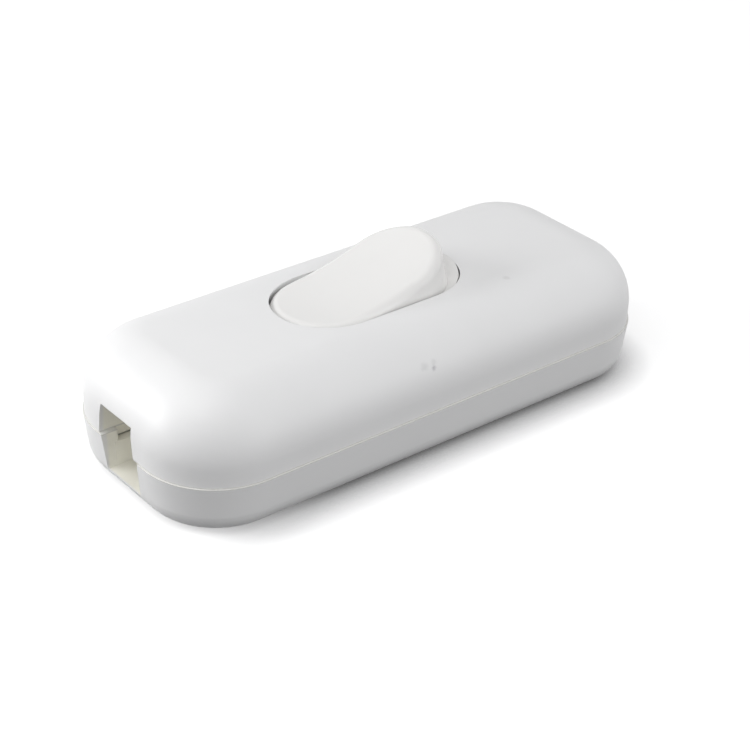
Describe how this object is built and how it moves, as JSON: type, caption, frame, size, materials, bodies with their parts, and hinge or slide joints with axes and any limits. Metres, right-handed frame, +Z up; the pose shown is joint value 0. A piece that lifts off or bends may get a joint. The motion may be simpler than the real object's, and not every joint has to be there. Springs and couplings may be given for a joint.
{
  "type": "inline cord switch",
  "caption": "White in-line cord switch with a soft rounded two-part case, a dished rocker button and a cord entry at each end.",
  "frame": {"origin": "middle of the flat underside", "axes": "+X along the cord from the entry beside the pressed end of the rocker to the other entry, +Z up out of the top"},
  "size_m": [0.0656, 0.0274, 0.0196],
  "materials": {
    "white_case": "satin gloss",
    "white_rocker": "satin gloss",
    "white_clamp": "matte",
    "nylon": "matte",
    "spring_steel": "drawn",
    "brass_sheet": "stamped",
    "brass_bar": "turned",
    "contact_silver": "silver",
    "zinc_steel": "zinc plated"
  },
  "bodies": {
    "case": {"lower_shell": "white_case", "upper_shell": "white_case", "case_screws": "zinc_steel", "common_terminal": "brass_sheet", "fixed_terminal": "brass_sheet", "fixed_contact": "contact_silver", "terminal_screws": "zinc_steel", "wire_washers": "zinc_steel", "neutral_connector": "brass_bar", "neutral_screws": "zinc_steel", "cord_clamp_near": "white_clamp", "cord_clamp_far": "white_clamp", "clamp_screws": "zinc_steel"},
    "rocker": {"rocker": "white_rocker", "plunger_spring": "spring_steel"},
    "plunger": {"plunger": "nylon"},
    "contact": {"contact_plate": "brass_sheet", "moving_contact": "contact_silver"}
  },
  "joints": [
    {"name": "rocker_tilt", "type": "hinge", "parent": "case", "child": "rocker", "pos_m": [-0.0006, 0, 0.0106], "axis": [0, 1, 0], "range_deg": [0, 27]},
    {"name": "contact_tilt", "type": "hinge", "parent": "case", "child": "contact", "pos_m": [-0.0006, 0, 0.0054], "axis": [0, 1, 0], "range_deg": [-18, 0]},
    {"name": "plunger_slide", "type": "slide", "parent": "rocker", "child": "plunger", "axis": [0.2334, 0, -0.9724], "range_m": [0, 0.00025], "stiffness_N_per_m": 50, "deforming": ["plunger_spring"]}
  ],
  "couplings": [
    {"joint": "contact_tilt", "follows": "rocker_tilt", "ratio": -0.66667}
  ]
}
